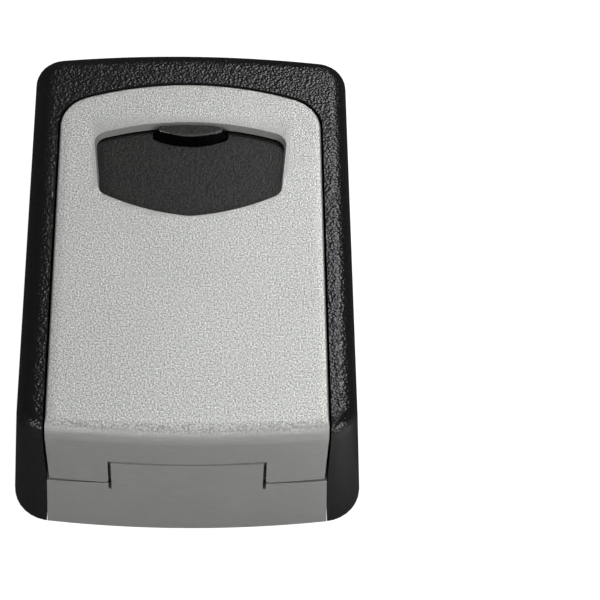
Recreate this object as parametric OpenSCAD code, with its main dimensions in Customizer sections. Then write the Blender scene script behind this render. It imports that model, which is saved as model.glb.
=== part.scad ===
// Wall-mount combination key safe: a deep case, a hinged front door that carries the whole
// lock, a sliding shutter over four dials, and a sprung release that draws the latch.
// X runs right, Y into the wall, Z up. The origin is the middle of the case's back face.

/* [Case] */
// Width of the case at the wall
case_w = 85; // [84:0.5:87]
// Height of the case at the wall, over its bulged ends
case_h = 120; // [120:0.5:123]
// Depth from the wall to the front face
case_d = 40; // [40:0.5:42]
// How far the top and bottom ends lean in between the wall and the front
draft = 2; // [1.8:0.1:2.2]
// How far the left and right sides lean in between the wall and the front
side_draft = 2.65; // [2.4:0.05:2.8]
// Radius of the outline's corners at the wall
corner_r = 9.5; // [8.5:0.5:10]
// Radius of the bulge across the top and bottom ends
end_bulge_r = 290; // [280:10:400]
// Radius of the rounded front edge
front_round = 4.2; // [3.8:0.2:4.4]
// Thickness of the back wall
back_t = 3; // [2.5:0.5:3.5]
// Thickness of the frame round the door
frame_t = 3; // [2.8:0.1:3]

/* [Wall screws] */
// Spacing of the wall screw holes across
wall_hole_dx = 46; // [40:1:50]
// Spacing of the wall screw holes up and down
wall_hole_dz = 64; // [56:1:68]
// Radius of a wall screw hole
wall_hole_r = 2.5; // [2:0.1:2.7]

/* [Door] */
// Width of the door
door_w = 65.8; // [65.4:0.2:66]
// Height of the middle of the door's arched top above the case's centre
door_top = 46.7; // [46.5:0.05:46.8]
// Radius of the arched top
door_arch_r = 80; // [78:1:90]
// Radius of the door's top corners
door_corner_r = 9.5; // [8.5:0.5:10]
// Thickness of the front plate and its rim walls
door_t = 2; // [1.8:0.1:2]
// Gap between the door and the frame
door_gap = 0.5; // [0.4:0.1:0.7]

/* [Window] */
// Height of the window's arched top
window_top = 33.75; // [33.6:0.05:34]
// Height of the window's lowest point
window_low = 5.8; // [5.6:0.1:6.2]
// Half the window's width, halfway up it
window_half = 22.7; // [22:0.1:22.8]
// Travel of the shutter
shutter_travel = 21.5; // [20:0.5:21.5]

/* [Dials] */
// Distance from dial to dial
dial_pitch = 10.2; // [10:0.1:10.4]
// Width of a dial
dial_w = 6.2; // [6:0.1:6.3]
// Radius of a dial
dial_r = 7.2; // [7.1:0.05:7.3]
// Digits round a dial
digits = 10; // [8:2:10]
// Height of the dial shaft above the case's centre
shaft_z = 19; // [18.8:0.1:19.1]

/* [Release] */
// Travel of the release button
release_travel = 3.7; // [3.5:0.1:3.8]
// Travel of the code change lever
change_travel = 2; // [1.8:0.1:2.1]

/* [Hidden] */
$fn = 48;

black = [0.07, 0.07, 0.075];
charcoal = [0.2, 0.2, 0.2];
silver = [0.7, 0.7, 0.69];
steel = [0.6, 0.61, 0.63];
brass = [0.72, 0.6, 0.32];

front_y = -case_d;
bottom_z = -case_h / 2;

// the hinge axis runs along X, just inside the sloping bottom end
tongue_reach = 4.15;
axis_depth = 4.1;
hinge_y = front_y + 15.85;
hinge_z = bottom_z + draft * -hinge_y / case_d + axis_depth;
tongue_half = 17.95;
tab_in = 18.65;
tab_out = 31.7;
tab_end = hinge_y + tongue_reach;
tab_round = 1;
tab_clear_r = 5.75;
flange_top = bottom_z + 6;
pin_r = 1.1;
knuckle_r = 2.2;
block_top = hinge_z + 4.2;
block_back_half = 34.1;
block_y = hinge_y + 4.65;
block_gap = 0.15;
block_half = door_w / 2 + door_gap - block_gap;

// the door's rim and the box behind it
rim_back = front_y + 11;
carrier_half = 26.2;
carrier_wall = 2;
carrier_top = 33.4;
carrier_face = front_y + 4.8;
carrier_face_t = 1.6;
cover_y = front_y + 20.5;
cover_t = 2;
cover_low = -29;
cover_gap = 0.4;
cover_wall = 1.6;
post_r = 2.4;
posts = [[-18.5, 36.6], [18.5, 36.6], [-22, -24.5], [22, -24.5]];

// shutter
shutter_y = front_y + 2.3;
shutter_t = 1.5;
shutter_half = 24.9;
shutter_low = window_low - 2.1;
shutter_top = window_top + 1.3;
// the carrier's rails reach past the shutter's lowest place
carrier_low = shutter_low - shutter_travel - 1.8;

// dials and sleeves on their shaft
shaft_y = front_y + 11.3;
shaft_r = 2;
run_gap = 0.05;
sleeve_r = 4;
gate_r = 5.6;
gate_t = 1;
gate_x = -4.6;
key_x = 0.9;
key_w = 1.6;
key_r = 5;
notch_x = 0.7;
lip_x = -2.3;
dial_x = [for (i = [0 : 3]) (i - 1.5) * dial_pitch];
stack_half = 2 * dial_pitch;

// release: the button, and the plate that carries the latch nose and four fingers
plate_front = carrier_face + carrier_face_t + 0.4;
plate_t = 1.2;
button_half = 11;
button_low = 29.3;
button_high = 33.2;
shelf_z = 30.4;
beam_z = 31.9;
beam_t = 1.2;
ear_z = 40;
nose_half = 6;
nose_top = 49.9;
nose_front = front_y + frame_t + 0.4;
spring_x = 9;
spring_y = shaft_y - 0.7;
spring_r = 1.8;
wire_r = 0.22;

lug_half = 20;
lug_top = -41;
lug_t = 2.5;
block_screw_x = 12;
block_screw_z = -45;

// ---- shared forms ----

// a flat outline, drawn as seen from the front, made solid between two depths
module slab(y_front, y_back) {
    translate([0, y_back, 0])
        rotate([90, 0, 0])
            linear_extrude(y_back - y_front) children();
}

// a box given by its two corners
module block(low, high) {
    translate(low) cube(high - low);
}

// a round bar along X
module x_rod(r, x0, x1) {
    translate([x0, 0, 0]) rotate([0, 90, 0]) cylinder(r = r, h = x1 - x0);
}

// a round bar along Y
module y_rod(r, y0, y1) {
    translate([0, y1, 0]) rotate([90, 0, 0]) cylinder(r = r, h = y1 - y0);
}

module at_hinge() {
    translate([0, hinge_y, hinge_z]) children();
}

module at_shaft() {
    translate([0, shaft_y, shaft_z]) children();
}

module both_sides() {
    children();
    mirror([1, 0, 0]) children();
}

module round_corners(r) {
    offset(r = r, $fn = 32) offset(delta = -r) children();
}

// ---- outlines, seen from the front ----

module case_outline(inset, lean = 0) {
    offset(r = corner_r - inset, $fn = 32)
        offset(delta = -corner_r)
            intersection() {
                square([case_w - 2 * lean, case_h + 2], center = true);
                translate([0, case_h / 2 - end_bulge_r])
                    circle(r = end_bulge_r, $fn = 720);
                translate([0, end_bulge_r - case_h / 2])
                    circle(r = end_bulge_r, $fn = 720);
            }
}

module door_outline(grow) {
    offset(delta = grow)
        round_corners(door_corner_r)
            intersection() {
                translate([-door_w / 2, -2 * case_h])
                    square([door_w, 3 * case_h]);
                translate([0, door_top - door_arch_r])
                    arched_strip();
            }
}

// the arched top as a disc on a long strip, so the sides run straight down
module arched_strip() {
    circle(r = door_arch_r, $fn = 120);
    translate([-door_arch_r, -2 * case_h])
        square([2 * door_arch_r, 2 * case_h]);
}

module window_outline(grow) {
    middle = (window_top + window_low) / 2;
    lean = 1.35;
    offset(delta = grow)
        round_corners(3)
            intersection() {
                polygon([
                    [-window_half - lean, middle + 14.6], [window_half + lean, middle + 14.6],
                    [window_half - lean, middle - 14.6], [-window_half + lean, middle - 14.6]
                ]);
                translate([0, window_top - 70]) circle(r = 70, $fn = 180);
                // the lower edge is two arcs that meet in a faint point
                translate([-5.8, window_low + 57]) circle(r = 57.3, $fn = 180);
                translate([5.8, window_low + 57]) circle(r = 57.3, $fn = 180);
            }
}

// the whole outer form: leaning sides, bulged ends and a rounded front edge
module envelope() {
    hull() {
        slab(-0.5, 0) case_outline(0);
        for (a = [0 : 15 : 90])
            slab(front_y + front_round * (1 - sin(a)), -0.1)
                case_outline(draft + front_round * (1 - cos(a)), side_draft - draft);
    }
}

// ---- case ----

module case_shell() {
    color(black)
        difference() {
            envelope();
            // room for the keys and the lock
            slab(front_y + frame_t, -back_t)
                translate([0, 1.5])
                    round_box(74, 104, 5);
            // doorway
            slab(front_y - 1, front_y + frame_t + 1) door_outline(door_gap);
            // the open bottom that the hinge block and the door's flange fill
            translate([0, 0, bottom_z - 1])
                linear_extrude(block_top + 0.1 - bottom_z + 1) bottom_gap();
            wall_holes();
            for (x = [-1, 1])
                translate([x * block_screw_x, 0, block_screw_z]) y_rod(1.2, -back_t - 1, 1);
        }
}

module round_box(w, h, r) {
    square([w - 2 * r, h], center = true);
    square([w, h - 2 * r], center = true);
    for (x = [-1, 1], y = [-1, 1])
        translate([x * (w / 2 - r), y * (h / 2 - r)]) circle(r = r);
}

// plan of the gap between the case's two bottom cheeks
module bottom_gap() {
    front_half = door_w / 2 + door_gap;
    polygon([
        [-front_half, front_y - 1], [front_half, front_y - 1],
        [front_half, block_y], [block_back_half + block_gap, 0], [block_back_half + block_gap, 1],
        [-block_back_half - block_gap, 1], [-block_back_half - block_gap, 0], [-front_half, block_y]
    ]);
}

module wall_holes() {
    for (x = [-0.5, 0.5], z = [-0.5, 0.5])
        translate([x * wall_hole_dx, 0, z * wall_hole_dz + 3]) {
            y_rod(wall_hole_r, -back_t - 1, 1);
            // shallow seat for the screw's washer
            y_rod(5, -back_t - 1, -back_t + 0.6);
        }
}

// ---- hinge ----

module hinge_block() {
    color(silver)
        difference() {
            union() {
                intersection() {
                    envelope();
                    block_body();
                }
                // lug screwed flat against the back wall
                block([-lug_half, -back_t - lug_t, block_top - 1], [lug_half, -back_t, lug_top]);
            }
            at_hinge() {
                x_rod(pin_r + 0.02, -tongue_half - 1, tongue_half + 1);
                // the door's tabs swing here
                both_sides() x_rod(tab_clear_r, tongue_half, block_back_half + 1);
            }
            // relief at the foot of each slot
            both_sides()
                block([tongue_half, hinge_y, bottom_z - 1], [tongue_half + 0.75, hinge_y + 7.1, bottom_z + 4]);
            for (x = [-1, 1])
                translate([x * block_screw_x, 0, block_screw_z])
                    y_rod(1.6, -back_t - lug_t - 1, -back_t + 1);
        }
}

module block_body() {
    translate([0, 0, bottom_z - 1])
        linear_extrude(block_top - bottom_z + 1)
            polygon([
                [-block_half, block_y], [block_half, block_y],
                [block_back_half, 0], [-block_back_half, 0]
            ]);
    // the tongue between the door's tabs, round over the pin
    intersection() {
        union() {
            at_hinge() x_rod(5.8, -tongue_half, tongue_half);
            block([-tongue_half, hinge_y, bottom_z - 1], [tongue_half, hinge_y + 6, block_top]);
        }
        block([-tongue_half, hinge_y - tongue_reach, bottom_z - 1],
              [tongue_half, hinge_y + 6, block_top]);
    }
}

module hinge_pin() {
    half = tab_out - 0.4;
    color(steel)
        at_hinge() {
            x_rod(pin_r, -half + 0.4, half - 0.4);
            both_sides()
                translate([half - 0.4, 0, 0])
                    rotate([0, 90, 0]) cylinder(r1 = pin_r, r2 = pin_r - 0.3, h = 0.4);
        }
}

// a pan-head screw with a cross recess, its head's seat at y = 0 and its shank towards +Y
module screw(shank_r, shank, head_r, head) {
    difference() {
        union() {
            y_rod(shank_r, -head / 2, shank);
            y_rod(head_r, -head * 0.6, 0);
            translate([0, -head * 0.6, 0])
                rotate([90, 0, 0]) cylinder(r1 = head_r, r2 = head_r * 0.72, h = head * 0.4);
        }
        block([-head_r * 0.55, -head - 0.1, -head_r * 0.12], [head_r * 0.55, -head * 0.4, head_r * 0.12]);
        block([-head_r * 0.12, -head - 0.1, -head_r * 0.55], [head_r * 0.12, -head * 0.4, head_r * 0.55]);
    }
}

module block_screws() {
    color(steel)
        for (x = [-1, 1])
            translate([x * block_screw_x, -back_t - lug_t, block_screw_z])
                screw(1.15, lug_t + back_t - 0.4, 2.6, 1.8);
}

// ---- door ----

module door_panel() {
    color(silver)
        difference() {
            union() {
                door_shell();
                at_hinge() both_sides() x_rod(knuckle_r, tab_in, tab_out);
                for (p = posts)
                    translate([p[0], 0, p[1]]) y_rod(post_r, front_y + door_t - 0.5, cover_y - 0.1);
            }
            // window, with a bevel round its front edge
            hull() {
                slab(front_y - 1, front_y) window_outline(0.65);
                slab(front_y + 0.75, front_y + door_t + 1) window_outline(0);
            }
            at_hinge() x_rod(pin_r + run_gap, -tab_out - 1, tab_out + 1);
            // the latch nose comes up through the top rim
            block([-nose_half - 0.6, nose_front - 0.4, door_top - 6],
                  [nose_half + 0.6, plate_front + plate_t + 0.4, door_top + 1]);
            for (p = posts)
                translate([p[0], 0, p[1]]) y_rod(1.2, front_y + door_t + 6, cover_y + 1);
        }
}

// front plate, rim, bottom flange and tabs, cut out of one convex form
module door_shell() {
    difference() {
        hull() intersection() {
            envelope();
            door_column();
        }
        slab(front_y + door_t, 1)
            intersection() {
                door_outline(-door_t);
                translate([-case_w / 2, flange_top]) square([case_w, case_h]);
            }
        block([-case_w, rim_back, flange_top - 0.01], [case_w, 1, case_h]);
        block([-case_w, tab_end, -case_h], [case_w, 1, case_h]);
        // room for the block's tongue, and the tabs' rounded inner corners
        block([-tab_in, hinge_y - tongue_reach - 0.2, -case_h], [tab_in, 1, flange_top + 1]);
        both_sides()
            difference() {
                block([tab_in - 0.1, tab_end - tab_round, -case_h], [tab_in + tab_round, 1, flange_top - 0.1]);
                translate([tab_in + tab_round, tab_end - tab_round, -case_h])
                    cylinder(r = tab_round, h = case_h);
            }
        at_hinge() x_rod(6.02, -tab_in, tab_in);
    }
}

// the door's outline, a little narrower to the back, with a small round at its front edge
module door_column() {
    hull() {
        slab(-0.1, 0) door_outline(-0.5);
        slab(front_y + 0.7, front_y + 0.8) door_outline(0);
        slab(front_y + 0.2, front_y + 0.3) door_outline(-0.2);
        slab(front_y - 0.1, front_y) door_outline(-0.7);
    }
}

module dial_carrier() {
    color(charcoal)
        difference() {
            union() {
                carrier_face_plate();
                // rails at the shutter's sides
                both_sides()
                    block([shutter_half + 0.3, front_y + door_t, carrier_low],
                          [carrier_half, carrier_face, carrier_top]);
                both_sides()
                    block([carrier_half - carrier_wall, carrier_face, carrier_low],
                          [carrier_half, cover_y, carrier_top]);
                block([-carrier_half, carrier_face, carrier_low],
                      [carrier_half, cover_y, carrier_low + carrier_wall]);
                // beam that the release springs stand on
                block([-carrier_half + 1, plate_front + plate_t + 0.3, beam_z],
                      [carrier_half - 1, spring_y + 3.2, beam_z + beam_t]);
                both_sides()
                    translate([spring_x, spring_y, beam_z]) cylinder(r = 1.1, h = beam_t + 1.4);
                // ledge under the detent spring
                block([-carrier_half + 1, carrier_face + 1, shaft_z - dial_r - 2.9],
                      [carrier_half - 1, shaft_y + 6.5, shaft_z - dial_r - 1.6]);
            }
            at_shaft() {
                x_rod(shaft_r, -carrier_half - 1, carrier_half + 1);
                // hollow behind the bars between the slots, where the gates turn
                x_rod(gate_r + 0.25, -stack_half - change_travel - 0.2, stack_half);
            }
        }
}

module carrier_face_plate() {
    slot_half = (dial_w + 0.6) / 2;
    slab(carrier_face, carrier_face + carrier_face_t)
        difference() {
            union() {
                translate([-carrier_half, carrier_low])
                    square([2 * carrier_half, carrier_top - carrier_low]);
                translate([-15, 20]) square([30, 16]);
            }
            for (x = dial_x)
                translate([x - slot_half, shaft_z - 5.5]) square([2 * slot_half, 11]);
            translate([-button_half - 0.2, button_low - release_travel - 0.1])
                square([2 * button_half + 0.4, button_high - button_low + release_travel + 0.2]);
        }
}

module dial_shaft() {
    color(steel) at_shaft() x_rod(shaft_r, -carrier_half + 0.2, carrier_half - 0.2);
}

// a sheet comb: one springy finger under each dial, with a bump that clicks in its grooves
module detent_spring() {
    seat = shaft_z - dial_r - 1.6;
    color(brass) {
        block([-stack_half + 1, shaft_y + 2.5, seat], [stack_half - 1, shaft_y + 6, seat + 0.4]);
        for (x = dial_x) {
            block([x - 2, shaft_y - 1.6, seat], [x + 2, shaft_y + 3, seat + 0.4]);
            translate([0, shaft_y, seat + 0.8]) x_rod(0.65, x - 2, x + 2);
        }
    }
}

module inner_cover() {
    color(black)
        difference() {
            slab(rim_back - 2, cover_y + cover_t) cover_outline(0);
            slab(rim_back - 3, cover_y) cover_outline(-cover_wall);
            for (p = posts)
                translate([p[0], 0, p[1]]) y_rod(1.5, cover_y - 1, cover_y + cover_t + 1);
            // slot that the change lever's knob slides in
            block([-3 - change_travel, cover_y - 1, shaft_z - 2.4],
                  [3, cover_y + cover_t + 1, shaft_z + 2.4]);
        }
}

module cover_outline(grow) {
    intersection() {
        door_outline(-door_t - cover_gap + grow);
        translate([-case_w / 2, cover_low - grow]) square([case_w, case_h]);
    }
}

module cover_screws() {
    color(steel)
        for (p = posts)
            translate([p[0], cover_y + cover_t, p[1]])
                mirror([0, 1, 0]) screw(1.15, cover_t + 7, 2.6, 1.4);
}

// ---- release ----

// a round wire wound round Z, its ends resting on z = 0 and z = h
module coil(r, wire, h, turns) {
    per_turn = 12;
    around = 5;
    rings = turns * per_turn;
    rise = h - 2 * wire;
    points = [
        for (i = [0 : rings])
            let (a = 360 * i / per_turn, z = wire + rise * i / rings)
                for (k = [0 : around - 1])
                    let (b = 360 * k / around)
                        [(r - wire + wire * cos(b)) * cos(a),
                         (r - wire + wire * cos(b)) * sin(a),
                         z + wire * sin(b)]
    ];
    sides = [
        for (i = [0 : rings - 1], k = [0 : around - 1])
            let (n = (k + 1) % around)
                [i * around + k, (i + 1) * around + k, (i + 1) * around + n, i * around + n]
    ];
    polyhedron(
        points = points,
        faces = concat(
            sides,
            [[for (k = [0 : around - 1]) k]],
            [[for (k = [around - 1 : -1 : 0]) rings * around + k]]
        )
    );
}

module release_springs() {
    foot = beam_z + beam_t + 0.02;
    color(steel)
        for (x = [-1, 1])
            translate([x * spring_x, spring_y, foot])
                coil(spring_r, wire_r, ear_z - foot - 0.02, 5);
}

module release_button() {
    color(black)
        difference() {
            block([-button_half, front_y + 4.1, button_low], [button_half, plate_front, button_high]);
            // grip grooves across the thumb face
            for (z = [1 : 3])
                translate([0, front_y + 4.1, button_low + z * (button_high - button_low) / 4])
                    x_rod(0.3, -button_half + 1.5, button_half - 1.5);
        }
}

module latch_plate() {
    back = plate_front + plate_t;
    finger_x = gate_x + 0.05;
    color(steel) {
        block([-12, plate_front, button_low + 0.5], [12, back, ear_z + 1]);
        block([-nose_half, plate_front, ear_z], [nose_half, back, nose_top]);
        // latch nose, sloped on top so that the door snaps shut over it
        slope_nose();
        // ears over the two springs
        both_sides()
            block([spring_x - 2.2, plate_front, ear_z], [spring_x + 2.2, spring_y + 2.2, ear_z + 1]);
        // shelf with a finger for each sleeve's gate
        block([dial_x[0] + gate_x - 1, plate_front, shelf_z], [dial_x[3] + 2, shaft_y + 1.3, shelf_z + 1.2]);
        for (x = dial_x)
            block([x + finger_x, shaft_y - 1.3, shaft_z + sleeve_r + 0.2 + release_travel],
                  [x + finger_x + gate_t - 0.1, shaft_y + 1.3, shelf_z + 0.1]);
    }
}

module slope_nose() {
    translate([-nose_half, 0, 0])
        rotate([90, 0, 90])
            linear_extrude(2 * nose_half)
                polygon([
                    [plate_front + 0.1, 43.2], [nose_front, 43.2], [nose_front, nose_top],
                    [nose_front + 1, nose_top], [plate_front + 0.1, nose_top - 1.6]
                ]);
}

module shutter() {
    color(charcoal) {
        slab(shutter_y, shutter_y + shutter_t)
            intersection() {
                translate([-shutter_half, shutter_low])
                    square([2 * shutter_half, 60]);
                translate([0, shutter_top - 70]) circle(r = 70);
            }
        // finger tab
        hull() {
            slab(front_y - 0.2, front_y + 0.2) tab_outline(8.6, 30, 0.7);
            slab(shutter_y - 0.3, shutter_y + 0.1) tab_outline(9.5, 28.3, 0.4);
        }
    }
}

module tab_outline(half, low, gap) {
    round_corners(0.6)
        intersection() {
            translate([-half, low - 1]) square([2 * half, 8]);
            translate([0, low + 20]) circle(r = 20, $fn = 120);
            translate([0, window_top - gap - 70]) circle(r = 70, $fn = 180);
        }
}

// ---- dials ----

module dial(i) {
    step = 360 / digits;
    color(black)
        translate([dial_x[i - 1], shaft_y, shaft_z])
            difference() {
                x_rod(dial_r, -dial_w / 2, dial_w / 2);
                x_rod(sleeve_r + run_gap, -dial_w, dial_w);
                // the sleeve's key turns free in here while the code is changed
                x_rod(key_r + 0.3, lip_x, notch_x);
                for (k = [0 : digits - 1]) {
                    // groove between two digits
                    rotate([step * (k + 0.5), 0, 0])
                        translate([0, -dial_r - 0.4, 0]) x_rod(0.8, -dial_w, dial_w);
                    // notch that the key can stand in
                    rotate([step * k, 0, 0])
                        block([notch_x - 0.1, -0.8, sleeve_r - 1], [dial_w, 0.8, key_r + 0.2]);
                }
            }
}

module code_sleeve(i) {
    end = dial_pitch / 2 - 0.02;
    color(brass)
        translate([dial_x[i - 1], shaft_y, shaft_z])
            difference() {
                union() {
                    x_rod(sleeve_r, -end, end);
                    x_rod(gate_r, gate_x, gate_x + gate_t);
                    block([key_x, -0.65, 0], [key_x + key_w, 0.65, key_r]);
                }
                x_rod(shaft_r + run_gap, -dial_pitch, dial_pitch);
                // gate that lets the latch plate's finger down
                block([gate_x - 0.5, -1.6, sleeve_r + 0.1], [gate_x + gate_t + 0.5, 1.6, gate_r + 1]);
            }
}

// bracket behind the dials: its two forks hold the row of sleeves end to end
module code_change_lever() {
    fork_in = stack_half + 0.2;
    fork_out = fork_in + 1.4;
    back = cover_y - 0.5;
    color(steel)
        difference() {
            union() {
                block([-fork_out, back - 1, shaft_z - 3], [fork_out, back, shaft_z + 3]);
                both_sides()
                    block([fork_in, shaft_y - 2.8, shaft_z - 3], [fork_out, back, shaft_z + 3]);
                block([-2.5, back - 0.5, shaft_z - 2], [2.5, cover_y + cover_t + 1.5, shaft_z + 2]);
            }
            at_shaft() x_rod(shaft_r + 0.2, -fork_out - 1, fork_out + 1);
            block([-fork_out - 1, shaft_y - 4, shaft_z - shaft_r - 0.2],
                  [fork_out + 1, shaft_y, shaft_z + shaft_r + 0.2]);
        }
}

case_shell();
hinge_block();
hinge_pin();
block_screws();
door_panel();
dial_carrier();
dial_shaft();
detent_spring();
inner_cover();
cover_screws();
release_springs();
shutter();
release_button();
latch_plate();
code_change_lever();
dial(1);  // dial_1
dial(2);  // dial_2
dial(3);  // dial_3
dial(4);  // dial_4
code_sleeve(1);  // code_sleeve_1
code_sleeve(2);  // code_sleeve_2
code_sleeve(3);  // code_sleeve_3
code_sleeve(4);  // code_sleeve_4
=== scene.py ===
import math

import bmesh
import bpy
from mathutils import Matrix, Vector


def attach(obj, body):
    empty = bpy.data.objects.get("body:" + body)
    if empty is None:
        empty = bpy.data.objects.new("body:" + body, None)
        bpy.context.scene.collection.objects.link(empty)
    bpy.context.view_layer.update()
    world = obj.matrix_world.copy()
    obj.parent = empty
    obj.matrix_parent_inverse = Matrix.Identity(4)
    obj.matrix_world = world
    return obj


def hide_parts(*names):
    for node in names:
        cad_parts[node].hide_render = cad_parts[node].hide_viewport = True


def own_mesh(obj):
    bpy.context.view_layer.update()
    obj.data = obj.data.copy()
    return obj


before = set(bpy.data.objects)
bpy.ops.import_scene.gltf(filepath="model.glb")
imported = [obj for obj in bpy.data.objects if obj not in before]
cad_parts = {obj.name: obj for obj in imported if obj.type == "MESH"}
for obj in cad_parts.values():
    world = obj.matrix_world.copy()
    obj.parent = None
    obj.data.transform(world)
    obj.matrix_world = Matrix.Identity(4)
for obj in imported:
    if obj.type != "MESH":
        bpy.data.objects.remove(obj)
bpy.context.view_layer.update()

print("frame loaded:", len(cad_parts), "nodes")

dials = range(1, 5)    # from left to right


def newNode(tree, kind, place, **inputs):
    node = tree.nodes.new(kind)
    node.location = place
    for key, value in inputs.items():
        node.inputs[key.replace("_", " ")].default_value = value
    return node


def newMaterial(name, colour, roughness, metallic=0.0):
    material = bpy.data.materials.new(name)
    material.use_nodes = True
    tree = material.node_tree
    shader = tree.nodes["Principled BSDF"]
    shader.inputs["Base Color"].default_value = (*colour, 1)
    shader.inputs["Roughness"].default_value = roughness
    shader.inputs["Metallic"].default_value = metallic
    coords = newNode(tree, "ShaderNodeTexCoord", (-1300, 0))
    return material, tree, shader, coords.outputs["Object"]


def noiseOn(tree, coords, scale, place, detail=3.0, roughness=0.5):
    noise = newNode(tree, "ShaderNodeTexNoise", place, Scale=scale, Detail=detail, Roughness=roughness)
    tree.links.new(coords, noise.inputs["Vector"])
    return noise.outputs["Fac"]


def stretched(tree, coords, scale, place):
    mapping = newNode(tree, "ShaderNodeMapping", place, Scale=scale)
    tree.links.new(coords, mapping.inputs["Vector"])
    return mapping.outputs["Vector"]


def rampOn(tree, value, stops, place):
    # stops: (place on the ramp, colour)
    ramp = tree.nodes.new("ShaderNodeValToRGB")
    ramp.location = place
    while len(ramp.color_ramp.elements) < len(stops):
        ramp.color_ramp.elements.new(0.5)
    for element, (position, colour) in zip(ramp.color_ramp.elements, stops):
        element.position = position
        element.color = (*colour, 1)
    tree.links.new(value, ramp.inputs["Fac"])
    return ramp.outputs["Color"]


def grey(value):
    return (value, value, value)


def shadesOf(colour, tone, stops=(0.3, 0.7)):
    return [(stop, tuple(v * factor for v in colour)) for stop, factor in zip(stops, tone)]


def greyRamp(tree, value, ends, place, stops=(0.3, 0.7)):
    return rampOn(tree, value, [(stop, grey(end)) for stop, end in zip(stops, ends)], place)


def around(value, spread):
    return (value - spread, value + spread)


def mixValues(tree, factor, first, second, place):
    mix = newNode(tree, "ShaderNodeMix", place)
    tree.links.new(factor, mix.inputs["Factor"])
    for socket, value in (("A", first), ("B", second)):
        if isinstance(value, float):
            mix.inputs[socket].default_value = value
        else:
            tree.links.new(value, mix.inputs[socket])
    return mix.outputs["Result"]


def mixColours(tree, factor, first, second, place, blend="MIX"):
    mix = newNode(tree, "ShaderNodeMix", place)
    mix.data_type = "RGBA"
    mix.blend_type = blend
    if isinstance(factor, float):
        mix.inputs["Factor"].default_value = factor
    else:
        tree.links.new(factor, mix.inputs["Factor"])
    tree.links.new(first, mix.inputs["A"])
    tree.links.new(second, mix.inputs["B"])
    return mix.outputs["Result"]


def bumpFrom(tree, shader, heights, place=(-300, -300)):
    # heights: (value, strength, distance) from the coarsest to the finest
    bumps = []
    for value, strength, distance in heights:
        bump = newNode(tree, "ShaderNodeBump", place, Strength=strength, Distance=distance)
        tree.links.new(value, bump.inputs["Height"])
        if bumps:
            tree.links.new(bumps[-1].outputs["Normal"], bump.inputs["Normal"])
        bumps.append(bump)
        place = (place[0] + 160, place[1] - 160)
    tree.links.new(bumps[-1].outputs["Normal"], shader.inputs["Normal"])
    return bumps


def frontShare(tree, place=(-1300, -400)):
    # 1 on the faces that look forward, 0 on the ends and sides
    share = tree.nodes.new("ShaderNodeAttribute")
    share.location = place
    share.attribute_name = "frontFacing"
    return share.outputs["Fac"]


def seamShade(tree, colour, reach=0.0012, span=(0.15, 0.6), place=(-150, 450)):
    # painted shade in the narrow joints and hollows: the colour is darkened where the ambient occlusion is
    # deep
    depth = newNode(tree, "ShaderNodeAmbientOcclusion", place, Distance=reach)
    depth.samples = 6
    shade = greyRamp(tree, depth.outputs["AO"], (0.03, 1.0), (place[0] + 180, place[1]), span)
    return mixColours(tree, 1.0, colour, shade, (place[0] + 450, place[1]), "MULTIPLY")


def hammeredSilver():
    # coarse coat on the front, brushed flat on the ends, where it is also coloured darker than the front: a
    # painted shade; roughness, uneven and bump are (end, front)
    look = {"base": (0.5, 0.505, 0.485), "dark": (0.26, 0.265, 0.25), "light": (0.74, 0.745, 0.72),
            "end": (0.385, 0.39, 0.371), "endTone": (0.93, 1.05), "metallic": 0.35,
            "grain": 2400, "speck": 5520, "wash": 28, "washTone": (0.94, 1.0), "brush": (350, 2200, 2200),
            "roughness": (0.5, 0.36), "uneven": (0.04, 0.06), "bump": (0.25, 0.9), "depth": 0.00012,
            "speckBump": 0.4, "speckDepth": 0.00004}
    material, tree, shader, coords = newMaterial("hammeredSilver", look["base"], look["roughness"][1],
                                                 look["metallic"])
    share = frontShare(tree)
    grain = noiseOn(tree, coords, look["grain"], (-1000, 200), roughness=0.6)
    speck = noiseOn(tree, coords, look["speck"], (-1000, -60), detail=2.0)
    wash = noiseOn(tree, coords, look["wash"], (-1000, -320))
    brushed = noiseOn(tree, stretched(tree, coords, look["brush"], (-1180, -560)), 1.0, (-1000, -560))
    colour = rampOn(tree, grain, [(0.36, look["dark"]), (0.5, look["base"]), (0.64, look["light"])],
                    (-700, 220))
    shadedEndColour = rampOn(tree, brushed, shadesOf(look["end"], look["endTone"]), (-700, -300))
    tint = greyRamp(tree, wash, look["washTone"], (-700, -60))
    both = mixColours(tree, share, shadedEndColour, colour, (-450, 200))
    coat = mixColours(tree, 1.0, both, tint, (-250, 200), "MULTIPLY")
    tree.links.new(seamShade(tree, coat), shader.inputs["Base Color"])
    rough = greyRamp(tree, speck, around(look["roughness"][1], look["uneven"][1]), (-450, -60))
    endRough = greyRamp(tree, brushed, around(look["roughness"][0], look["uneven"][0]), (-450, -300))
    tree.links.new(mixColours(tree, share, endRough, rough, (-250, -60)), shader.inputs["Roughness"])
    height = mixValues(tree, share, brushed, grain, (-500, -500))
    bumps = bumpFrom(tree, shader, [(height, look["bump"][1], look["depth"]),
                                    (speck, look["speckBump"], look["speckDepth"])])
    tree.links.new(mixValues(tree, share, *look["bump"], (-500, -700)), bumps[0].inputs["Strength"])
    return material


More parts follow.
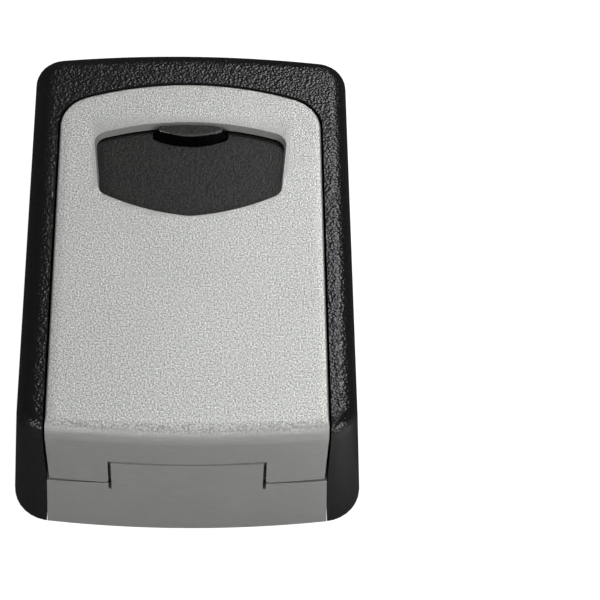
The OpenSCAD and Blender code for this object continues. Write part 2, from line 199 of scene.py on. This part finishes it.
def smoothSilver():
    # same paint, thinner on the hinge block: flat, with a fine sideways grain, and coloured darker than the
    # door's front like the door's ends: a painted shade
    look = {"base": (0.343, 0.348, 0.331), "tone": (0.94, 1.05), "metallic": 0.25,
            "wash": 60, "washTone": (0.95, 1.0), "brush": (300, 2200, 2200),
            "roughness": 0.5, "uneven": 0.04, "bump": 0.25, "depth": 0.00006}
    material, tree, shader, coords = newMaterial("smoothSilver", look["base"], look["roughness"],
                                                 look["metallic"])
    brushed = noiseOn(tree, stretched(tree, coords, look["brush"], (-1180, 200)), 1.0, (-1000, 200))
    wash = noiseOn(tree, coords, look["wash"], (-1000, -100))
    colour = rampOn(tree, brushed, shadesOf(look["base"], look["tone"]), (-700, 220))
    tint = greyRamp(tree, wash, look["washTone"], (-700, -60))
    coat = mixColours(tree, 1.0, colour, tint, (-400, 200), "MULTIPLY")
    tree.links.new(seamShade(tree, coat), shader.inputs["Base Color"])
    rough = greyRamp(tree, brushed, around(look["roughness"], look["uneven"]), (-400, -60))
    tree.links.new(rough, shader.inputs["Roughness"])
    bumpFrom(tree, shader, [(brushed, look["bump"], look["depth"])])
    return material


def texturedBlack():
    # wrinkled powder coat, calmer and duller on the sides, and coloured lighter there: a painted lift of
    # light on the faces that don't look forward; bump, roughness and uneven are (side, front)
    look = {"dark": (0.004, 0.004, 0.0045), "light": (0.0085, 0.0085, 0.009),
            "liftedSideDark": (0.011, 0.011, 0.0115), "liftedSideLight": (0.02, 0.02, 0.021),
            "grain": 1250, "grainDepth": 0.0001, "cells": 1500, "cellDepth": 0.00011, "bump": (0.4, 0.8),
            "blotch": 40, "roughness": (0.43, 0.21), "uneven": (0.03, 0.02), "specular": 0.33}
    material, tree, shader, coords = newMaterial("texturedBlack", look["light"], look["roughness"][1])
    share = frontShare(tree)
    grain = noiseOn(tree, coords, look["grain"], (-1000, 200), roughness=0.65)
    cells = newNode(tree, "ShaderNodeTexVoronoi", (-1000, 450), Scale=look["cells"])
    tree.links.new(coords, cells.inputs["Vector"])
    blotch = noiseOn(tree, coords, look["blotch"], (-1000, -100))
    colour = rampOn(tree, grain, [(0.3, look["dark"]), (0.75, look["light"])], (-700, 220))
    sideLiftColour = rampOn(tree, grain, [(0.3, look["liftedSideDark"]), (0.75, look["liftedSideLight"])], (-700, 450))
    tree.links.new(mixColours(tree, share, sideLiftColour, colour, (-400, 220)), shader.inputs["Base Color"])
    rough = greyRamp(tree, blotch, around(look["roughness"][1], look["uneven"][1]), (-700, -100))
    sideRough = greyRamp(tree, blotch, around(look["roughness"][0], look["uneven"][0]), (-700, -350))
    tree.links.new(mixColours(tree, share, sideRough, rough, (-400, -100)), shader.inputs["Roughness"])
    shader.inputs["Specular IOR Level"].default_value = look["specular"]
    bumps = bumpFrom(tree, shader, [(cells.outputs["Distance"], look["bump"][1], look["cellDepth"]),
                                    (grain, look["bump"][1], look["grainDepth"])])
    for bump in bumps:
        tree.links.new(mixValues(tree, share, *look["bump"], (-500, -700)), bump.inputs["Strength"])
    return material


def wornEdge(name, colour, roughness, metallic=0.0):
    # the same coat on the rounded edges, smoother there, and coloured lighter on the silver and the
    # charcoal: a painted highlight, the glint along the edges
    look = {"mottle": 420, "stops": (0.35, 0.65), "tone": (0.7, 1.15), "duller": 0.12, "glossier": 0.04,
            "bump": 0.1, "depth": 0.00003}
    material, tree, shader, coords = newMaterial(name, colour, roughness, metallic)
    mottle = noiseOn(tree, coords, look["mottle"], (-1000, 100), detail=4.0, roughness=0.6)
    shades = rampOn(tree, mottle, shadesOf(colour, look["tone"], look["stops"]), (-700, 200))
    tree.links.new(seamShade(tree, shades), shader.inputs["Base Color"])
    rough = greyRamp(tree, mottle, (roughness + look["duller"], roughness - look["glossier"]), (-700, -100),
                     look["stops"])
    tree.links.new(rough, shader.inputs["Roughness"])
    bumpFrom(tree, shader, [(mottle, look["bump"], look["depth"])])
    return material


def mattCharcoal():
    # rough grain on the front; the faces that don't look straight forward are painted near black, with
    # little specular: a painted shade; specular is (painted shade, front)
    look = {"dark": (0.003, 0.0034, 0.0026), "light": (0.022, 0.0228, 0.02), "under": 0.0006,
            "underTone": (1, 2), "grain": 1900, "bump": 0.75, "depth": 0.00011,
            "roughness": 0.34, "specular": (0.02, 0.23), "shadowReach": 0.004, "shadowSpan": (0.6, 0.95)}
    material, tree, shader, coords = newMaterial("mattCharcoal", look["light"], look["roughness"])
    share = frontShare(tree)
    grain = noiseOn(tree, coords, look["grain"], (-1000, 200), roughness=0.6)
    colour = rampOn(tree, grain, [(0.38, look["dark"]), (0.62, look["light"])], (-700, 220))
    underside = rampOn(tree, grain, shadesOf(grey(look["under"]), look["underTone"]), (-700, -100))
    both = mixColours(tree, share, underside, colour, (-450, 200))
    # the long occlusion reach paints the shadow below the finger tab and under the window's rim
    tree.links.new(seamShade(tree, both, look["shadowReach"], look["shadowSpan"]), shader.inputs["Base Color"])
    bumpFrom(tree, shader, [(grain, look["bump"], look["depth"])])
    tree.links.new(mixValues(tree, share, *look["specular"], (-450, -300)),
                   shader.inputs["Specular IOR Level"])
    return material


def mouldedBlack(name, base, roughness):
    look = {"grain": 1800, "tone": (0.85, 1.2), "blotch": 90, "uneven": 0.06, "bump": 0.15,
            "depth": 0.00003}
    material, tree, shader, coords = newMaterial(name, grey(base), roughness)
    grain = noiseOn(tree, coords, look["grain"], (-1000, 200), detail=2.0)
    colour = rampOn(tree, grain, shadesOf(grey(base), look["tone"]), (-700, 220))
    tree.links.new(colour, shader.inputs["Base Color"])
    blotch = noiseOn(tree, coords, look["blotch"], (-1000, -100))
    rough = greyRamp(tree, blotch, around(roughness, look["uneven"]), (-700, -100))
    tree.links.new(rough, shader.inputs["Roughness"])
    bumpFrom(tree, shader, [(grain, look["bump"], look["depth"])])
    return material


def platedSteel():
    look = {"base": (0.46, 0.465, 0.475), "drawn": (60, 900, 900), "roughness": 0.31, "uneven": 0.07,
            "bump": 0.2, "depth": 0.00002}
    material, tree, shader, coords = newMaterial("platedSteel", look["base"], look["roughness"], 1.0)
    lines = noiseOn(tree, stretched(tree, coords, look["drawn"], (-1150, 0)), 1.0, (-950, 0))
    rough = greyRamp(tree, lines, around(look["roughness"], look["uneven"]), (-700, -100))
    tree.links.new(rough, shader.inputs["Roughness"])
    bumpFrom(tree, shader, [(lines, look["bump"], look["depth"])])
    return material


def springBrass():
    # the dark stains are the rougher places
    look = {"base": (0.66, 0.5, 0.22), "dark": (0.52, 0.38, 0.16), "light": (0.72, 0.55, 0.26),
            "stain": 160, "roughness": 0.325, "uneven": -0.075, "bump": 0.1, "depth": 0.00002}
    material, tree, shader, coords = newMaterial("springBrass", look["base"], look["roughness"], 1.0)
    stain = noiseOn(tree, coords, look["stain"], (-1000, 100), detail=4.0)
    colour = rampOn(tree, stain, [(0.3, look["dark"]), (0.7, look["light"])], (-700, 200))
    tree.links.new(colour, shader.inputs["Base Color"])
    rough = greyRamp(tree, stain, around(look["roughness"], look["uneven"]), (-700, -100))
    tree.links.new(rough, shader.inputs["Roughness"])
    bumpFrom(tree, shader, [(stain, look["bump"], look["depth"])])
    return material


def numeralWhite():
    look = {"base": (0.8, 0.8, 0.78), "dark": (0.6, 0.6, 0.58), "light": (0.84, 0.84, 0.82),
            "wear": 2200, "roughness": 0.5}
    material, tree, shader, coords = newMaterial("numeralWhite", look["base"], look["roughness"])
    wear = noiseOn(tree, coords, look["wear"], (-1000, 100))
    colour = rampOn(tree, wear, [(0.35, look["dark"]), (0.6, look["light"])], (-700, 200))
    tree.links.new(colour, shader.inputs["Base Color"])
    return material


finishes = {
    "silver": hammeredSilver(),
    "silverSmooth": smoothSilver(),
    "black": texturedBlack(),
    "charcoal": mattCharcoal(),
    "moulded": mouldedBlack("mouldedBlack", 0.02, 0.45),
    "gloss": mouldedBlack("glossBlack", 0.016, 0.3),
    "steel": platedSteel(),
    "brass": springBrass(),
    "white": numeralWhite(),
    # the rounded edges' coats, lighter than the faces: a painted highlight along the edges
    "silverEdge": wornEdge("silverEdge", (0.6, 0.605, 0.59), 0.34, 0.35),
    "blackEdge": wornEdge("blackEdge", (0.009, 0.009, 0.0095), 0.34),
    "charcoalEdge": wornEdge("charcoalEdge", (0.05, 0.051, 0.046), 0.2),
}
print("finishes ready:", len(finishes))


def paint(obj, *names):
    if len(obj.data.materials):    # clearing an empty list would forget which faces carry the painted edge glint
        obj.data.materials.clear()
    for name in names:
        obj.data.materials.append(finishes[name])


# the solids that keep the frame's own mesh
nodeFinish = {
    "hinge_pin": "steel", "block_screws": "steel", "cover_screws": "steel", "dial_shaft": "steel",
    "latch_plate": "steel", "code_change_lever": "steel", "detent_spring": "brass",
    **{f"code_sleeve_{k}": "brass" for k in dials},
}
for nodeName, finishName in nodeFinish.items():
    paint(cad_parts[nodeName], finishName)
print("plain solids painted:", len(nodeFinish))


# shared by every softened piece; angles in degrees
softening = {"weld": 0.000002, "flat": 0.4, "edge": 28, "lipEdge": 40, "crease": 33, "evenness": 80,
             "sliver": 0.000001, "cutReach": 0.00002, "cutShift": 0.13, "turn": (0.35, 0.85)}


def addPiece(name, form):
    mesh = bpy.data.meshes.new(name)
    form.to_mesh(mesh)
    form.free()
    piece = bpy.data.objects.new(name, mesh)
    bpy.context.scene.collection.objects.link(piece)
    return piece


def weldedCopy(node):
    form = bmesh.new()
    form.from_mesh(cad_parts[node].data)
    bmesh.ops.remove_doubles(form, verts=form.verts, dist=softening["weld"])
    return form


def smoothUpTo(mesh, degrees):
    for face in mesh.polygons:
        face.use_smooth = True
    mesh.set_sharp_from_angle(angle=math.radians(degrees))


def cutAcross(form, point, normal, reach):
    bmesh.ops.bisect_plane(form, geom=form.verts[:] + form.edges[:] + form.faces[:],
                           dist=reach, plane_co=point, plane_no=normal)


def cutIntoCells(form, cell, uncut):
    # short faces keep the shading of an edge beside that edge; uncut: heights between which no cut falls
    for axis in range(3):
        places = [v.co[axis] for v in form.verts]
        low, high = min(places), max(places)
        count = max(2, round((high - low) / cell))
        normal = [0, 0, 0]
        normal[axis] = 1
        for step in range(1, count):
            point = [0, 0, 0]
            point[axis] = low + (high - low) * (step + softening["cutShift"]) / count
            if not (uncut and axis == 2 and uncut[0] < point[axis] < uncut[1]):
                cutAcross(form, point, normal, softening["cutReach"])


def inside(edge, box):
    return all(box[0][axis] <= v.co[axis] <= box[1][axis] for v in edge.verts for axis in range(3))


def roundEdges(form, edges, width, segments, clamp, edgeGlint):
    # worn: the rounded faces take the piece's second finish, the painted glint along the edges
    rounded = bmesh.ops.bevel(form, geom=edges, offset=width, offset_type="OFFSET", segments=segments,
                              profile=0.5, affect="EDGES", clamp_overlap=clamp, material=-1)
    if edgeGlint:
        for face in rounded["faces"]:
            face.material_index = 1


def roundLip(form, lip):
    form.normal_update()
    pulled = [e for e in form.edges
              if inside(e, lip["box"]) and e.calc_face_angle(0) > math.radians(softening["lipEdge"])]
    # the rounded lip takes the second finish: a painted glint along the edge
    roundEdges(form, pulled, lip["width"], segments=2, clamp=False, edgeGlint=True)
    form.normal_update()


def markFrontFaces(mesh, turn, crisp):
    # turn: where a surface counts as an end, and where as the front; crisp: no blending between faces
    share = mesh.attributes.new("frontFacing", "FLOAT", "FACE" if crisp else "POINT")
    for item in mesh.polygons if crisp else mesh.vertices:
        lean = (-item.normal.y - turn[0]) / (turn[1] - turn[0])
        share.data[item.index].value = min(1.0, max(0.0, lean))


def softened(node, name, body, look):
    # a copy of the frame's solid with its edges rounded, in its place
    form = weldedCopy(node)
    bmesh.ops.dissolve_limit(form, angle_limit=math.radians(softening["flat"]), verts=form.verts,
                             edges=form.edges)
    if "cell" in look:
        cutIntoCells(form, look["cell"], look.get("uncut"))
    if "lip" in look:
        roundLip(form, look["lip"])
    kept, outerOnly = look.get("kept"), look.get("outerOnly")
    edges = [e for e in form.edges
             if len(e.link_faces) == 2 and e.calc_face_angle(0) > math.radians(softening["edge"])
             and not (kept and inside(e, kept)) and not (outerOnly and e.calc_face_angle_signed(0) < 0)]
    roundEdges(form, edges, look["rounding"], segments=3, clamp=True, edgeGlint="edgeGlint" in look)
    bmesh.ops.dissolve_degenerate(form, edges=form.edges, dist=softening["sliver"])
    piece = addPiece(name, form)
    smoothUpTo(piece.data, softening["crease"])
    even = piece.modifiers.new("evenShading", "WEIGHTED_NORMAL")
    even.keep_sharp = True
    even.weight = softening["evenness"]
    markFrontFaces(piece.data, look.get("turn", softening["turn"]), "lip" in look)
    paint(piece, *[look[key] for key in ("coat", "edgeGlint") if key in look])
    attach(piece, body)
    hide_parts(node)
    print(name, "softened:", len(piece.data.polygons), "faces")


caseLook = {"coat": "black", "edgeGlint": "blackEdge", "rounding": 0.0004, "cell": 0.0025}
softened("case_shell", "caseBody", "case", caseLook)

doorLook = {"coat": "silver", "edgeGlint": "silverEdge", "rounding": 0.00025, "cell": 0.0025, "turn": (0.7, 0.99),
            "kept": ((-0.024, -0.041, 0.0048), (0.024, -0.030, 0.0352)),    # the window's edges stay crisp
            "uncut": (0.0295, 0.0346)}    # and its arc whole
softened("door_panel", "doorPanel", "door", doorLook)

blockLook = {"coat": "silverSmooth", "edgeGlint": "silverEdge", "rounding": 0.00025, "cell": 0.0025}
softened("hinge_block", "hingeBlock", "case", blockLook)

shutterLook = {"coat": "charcoal", "edgeGlint": "charcoalEdge", "rounding": 0.00025, "cell": 0.0025,
               "turn": (0.9, 0.97), "outerOnly": True,
               # the edge that fingers pull on is rounder
               "lip": {"box": ((-0.0095, -0.041, 0.029), (0.0095, -0.04015, 0.0324)), "width": 0.00028}}
softened("shutter", "shutterPlate", "shutter", shutterLook)

dialLook = {"coat": "gloss", "rounding": 0.00012}
for k in dials:
    softened(f"dial_{k}", f"dialWheel{k}", f"dial_{k}", dialLook)

buttonLook = {"coat": "gloss", "rounding": 0.0003}
softened("release_button", "thumbButton", "release", buttonLook)

carrierLook = {"coat": "moulded", "rounding": 0.0002}
softened("dial_carrier", "dialCarrier", "door", carrierLook)

coverLook = {"coat": "moulded", "rounding": 0.0002}
softened("inner_cover", "innerCover", "door", coverLook)


numeralLook = {"coat": "white", "count": 10, "radius": 0.0072, "sunk": 0.00005, "proud": 0.00004,
               "tall": 0.0036, "narrow": 0.92, "curveSteps": 6, "weld": 0.0001, "strips": 9,
               "cutReach": 0.000001, "pitch": 0.0102, "middle": 2.5, "shaftY": -0.0287,
               "shaftZ": 0.019}


def digitMesh(character):
    curve = bpy.data.curves.new("digit", "FONT")
    curve.body = character
    curve.resolution_u = numeralLook["curveSteps"]
    writing = bpy.data.objects.new("digit", curve)
    bpy.context.scene.collection.objects.link(writing)
    bpy.context.view_layer.update()
    flat = bpy.data.meshes.new_from_object(writing.evaluated_get(bpy.context.evaluated_depsgraph_get()))
    bpy.data.objects.remove(writing)
    return flat


def flatDigit(flat):
    # centred, at its real size and cut into strips that can bend
    digit = bmesh.new()
    digit.from_mesh(flat)
    bmesh.ops.remove_doubles(digit, verts=digit.verts, dist=numeralLook["weld"])
    low = Vector([min(v.co[axis] for v in digit.verts) for axis in range(3)])
    high = Vector([max(v.co[axis] for v in digit.verts) for axis in range(3)])
    size = numeralLook["tall"] / (high.y - low.y)
    bmesh.ops.translate(digit, verts=digit.verts, vec=-(low + high) / 2)
    bmesh.ops.scale(digit, verts=digit.verts, vec=(size * numeralLook["narrow"], size, size))
    for cut in range(1, numeralLook["strips"]):
        height = numeralLook["tall"] * (cut / numeralLook["strips"] - 0.5)
        cutAcross(digit, (0, height, 0), (0, 1, 0), numeralLook["cutReach"])
    return digit


def layRound(digit, step):
    # bent to the wheel, a little sunk in it, and raised to stand just proud of it
    inner = numeralLook["radius"] - numeralLook["sunk"]
    for v in digit.verts:
        angle = v.co.y / inner + math.tau * step / numeralLook["count"]
        v.co = Vector((v.co.x, -inner * math.cos(angle), inner * math.sin(angle)))
    bmesh.ops.recalc_face_normals(digit, faces=digit.faces)
    for face in digit.faces:
        middle = face.calc_center_median()
        if face.normal.y * middle.y + face.normal.z * middle.z < 0:
            face.normal_flip()
    top = bmesh.ops.extrude_face_region(digit, geom=digit.faces[:])
    rise = (inner + numeralLook["sunk"] + numeralLook["proud"]) / inner
    for v in (g for g in top["geom"] if isinstance(g, bmesh.types.BMVert)):
        v.co.y *= rise
        v.co.z *= rise
    bmesh.ops.recalc_face_normals(digit, faces=digit.faces)


def numeralsOn(dial):
    form = bmesh.new()
    place = ((dial - numeralLook["middle"]) * numeralLook["pitch"], numeralLook["shaftY"],
             numeralLook["shaftZ"])
    for step in range(numeralLook["count"]):
        flat = digitMesh(str(step))
        digit = flatDigit(flat)
        layRound(digit, step)
        bmesh.ops.translate(digit, verts=digit.verts, vec=place)
        digit.to_mesh(flat)
        digit.free()
        form.from_mesh(flat)
        bpy.data.meshes.remove(flat)
    piece = addPiece(f"numerals{dial}", form)
    paint(piece, numeralLook["coat"])
    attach(piece, f"dial_{dial}")


for k in dials:
    numeralsOn(k)
print("numerals laid on the dials")


springLook = {"coat": "steel", "travel": 0.0037, "fixedEnd": 0.0331, "crease": 50}


def latchSprings():
    # a smooth-shaded copy of the release springs, carried with the door
    piece = addPiece("latchSprings", weldedCopy("release_springs"))
    smoothUpTo(piece.data, springLook["crease"])
    paint(piece, springLook["coat"])
    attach(piece, "door")
    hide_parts("release_springs")
    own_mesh(piece)


latchSprings()


# angles in degrees, lens and sensor in millimetres
view = {"place": (0.0031, -0.4801, -0.3099), "pitch": 33.4, "yaw": 3.064, "roll": 1.23,
        "lens": 131.94, "sensor": 36, "nearest": 0.01}


def placeCamera():
    pitch, yaw, roll = (math.radians(view[key]) for key in ("pitch", "yaw", "roll"))
    forward = Vector((math.sin(yaw) * math.cos(pitch), math.cos(yaw) * math.cos(pitch), math.sin(pitch)))
    right = Vector((math.cos(yaw), -math.sin(yaw), 0))
    down = forward.cross(right)
    across = math.cos(roll) * right + math.sin(roll) * down
    below = math.cos(roll) * down - math.sin(roll) * right
    turn = Matrix((across, -below, -forward)).transposed()
    camera = bpy.data.objects.new("camera", bpy.data.cameras.new("camera"))
    camera.data.lens = view["lens"]
    camera.data.sensor_width = view["sensor"]
    camera.data.clip_start = view["nearest"]
    camera.matrix_world = Matrix.Translation(view["place"]) @ turn.to_4x4()
    bpy.context.scene.collection.objects.link(camera)
    bpy.context.scene.camera = camera


lamps = {    # place, aim, side of the square and power
    "frontSoft": ((0.25, -1.22, 0.0436), (0, 0, 0), 0.35, 1.2),
    "rightKey": ((0.3276, -1.0082, 0.6624), (0, 0, 0), 0.35, 5.1),
    "lowFront": ((0, -0.914, -0.8525), (0, 0, -0.02), 0.3, 1.3),
    "lowRight": ((0.462, -0.396, -0.428), (0, 0, -0.02), 0.3, 2.25),
    "lowLeft": ((-1.065, -1.185, -0.98), (0, 0, -0.02), 0.24, 8.2),
}


def hangLamp(name, place, aim, side, power):
    lamp = bpy.data.lights.new(name, "AREA")
    lamp.shape = "RECTANGLE"
    lamp.size = lamp.size_y = side
    lamp.energy = power
    obj = bpy.data.objects.new(name, lamp)
    obj.location = place
    obj.rotation_euler = (Vector(aim) - Vector(place)).to_track_quat("-Z", "Y").to_euler()
    bpy.context.scene.collection.objects.link(obj)


stageLook = {"size": 3.0, "behind": 0.0004, "white": 0.8, "glow": 1.4, "glowShare": 0.68,
             "mirrored": (0.05, 1.4), "fadeX": (0.03, 0.10), "fadeZ": (-0.04, -0.09),
             "room": (0.95, 0.97, 1.0), "roomLight": 0.1}


def mathNode(tree, operation, first, second, place):
    node = newNode(tree, "ShaderNodeMath", place)
    node.operation = operation
    for socket, value in zip(node.inputs, (first, second)):
        if isinstance(value, float):
            socket.default_value = value
        else:
            tree.links.new(value, socket)
    return node.outputs[0]


def mixShaders(tree, factor, first, second, place):
    mix = newNode(tree, "ShaderNodeMixShader", place)
    tree.links.new(factor, mix.inputs["Fac"])
    tree.links.new(first.outputs[0], mix.inputs[1])
    tree.links.new(second.outputs[0], mix.inputs[2])
    return mix


def mirroredGlow(tree):
    # what paint and metal mirror: pale at the lower right, dim elsewhere
    coords = newNode(tree, "ShaderNodeTexCoord", (-900, -500))
    split = newNode(tree, "ShaderNodeSeparateXYZ", (-700, -500))
    tree.links.new(coords.outputs["Object"], split.inputs[0])
    fades = []
    for axis in ("X", "Z"):
        near, far = stageLook["fade" + axis]
        fade = newNode(tree, "ShaderNodeMapRange", (-500, -500), From_Min=near, From_Max=far)
        tree.links.new(split.outputs[axis], fade.inputs["Value"])
        fades.append(fade.outputs["Result"])
    dim, strong = stageLook["mirrored"]
    lift = newNode(tree, "ShaderNodeMapRange", (-100, -500), To_Min=dim, To_Max=strong)
    tree.links.new(mathNode(tree, "MULTIPLY", *fades, (-300, -500)), lift.inputs["Value"])
    pale = newNode(tree, "ShaderNodeEmission", (200, -500), Color=(1, 1, 1, 1))
    tree.links.new(lift.outputs["Result"], pale.inputs["Strength"])
    return pale


def whiteBackdrop():
    # white to the camera but for the object's shadow, and clear from behind
    material = bpy.data.materials.new("backdropWhite")
    material.use_nodes = True
    tree = material.node_tree
    tree.nodes.clear()
    output = newNode(tree, "ShaderNodeOutputMaterial", (600, 0))
    plain = newNode(tree, "ShaderNodeBsdfDiffuse", (0, 0), Color=(*grey(stageLook["white"]), 1))
    bright = newNode(tree, "ShaderNodeEmission", (0, -200), Color=(1, 1, 1, 1), Strength=stageLook["glow"])
    clear = newNode(tree, "ShaderNodeBsdfTransparent", (200, -300))
    path = newNode(tree, "ShaderNodeLightPath", (-400, 200))
    geometry = newNode(tree, "ShaderNodeNewGeometry", (-400, -300))
    share = mathNode(tree, "MULTIPLY", path.outputs["Is Camera Ray"], stageLook["glowShare"], (0, 200))
    seen = mixShaders(tree, share, plain, bright, (300, 0))
    mirrored = mathNode(tree, "MAXIMUM", path.outputs["Is Glossy Ray"], path.outputs["Is Transmission Ray"],
                        (200, 300))
    front = mixShaders(tree, mirrored, seen, mirroredGlow(tree), (380, 100))
    both = mixShaders(tree, geometry.outputs["Backfacing"], front, clear, (450, 0))
    tree.links.new(both.outputs[0], output.inputs["Surface"])
    return material


def hangBackdrop():
    form = bmesh.new()
    bmesh.ops.create_grid(form, x_segments=1, y_segments=1, size=stageLook["size"])
    bmesh.ops.rotate(form, verts=form.verts, matrix=Matrix.Rotation(math.radians(90), 3, "X"))
    bmesh.ops.translate(form, verts=form.verts, vec=(0, stageLook["behind"], 0))
    backdrop = addPiece("backdrop", form)
    backdrop.data.materials.append(whiteBackdrop())


def paleRoom():
    world = bpy.data.worlds.new("paleRoom")
    bpy.context.scene.world = world
    world.use_nodes = True
    tree = world.node_tree
    tree.nodes.clear()
    output = newNode(tree, "ShaderNodeOutputWorld", (400, 0))
    room = newNode(tree, "ShaderNodeBackground", (0, 0), Color=(*stageLook["room"], 1),
                   Strength=stageLook["roomLight"])
    white = newNode(tree, "ShaderNodeBackground", (0, -200), Color=(1, 1, 1, 1), Strength=1.0)
    path = newNode(tree, "ShaderNodeLightPath", (-200, 200))
    both = mixShaders(tree, path.outputs["Is Camera Ray"], room, white, (200, 0))
    tree.links.new(both.outputs[0], output.inputs["Surface"])


placeCamera()
hangBackdrop()
paleRoom()
for lampName, settings in lamps.items():
    hangLamp(lampName, *settings)
bpy.context.scene.view_settings.view_transform = "Standard"
print("camera, lights and stage ready")
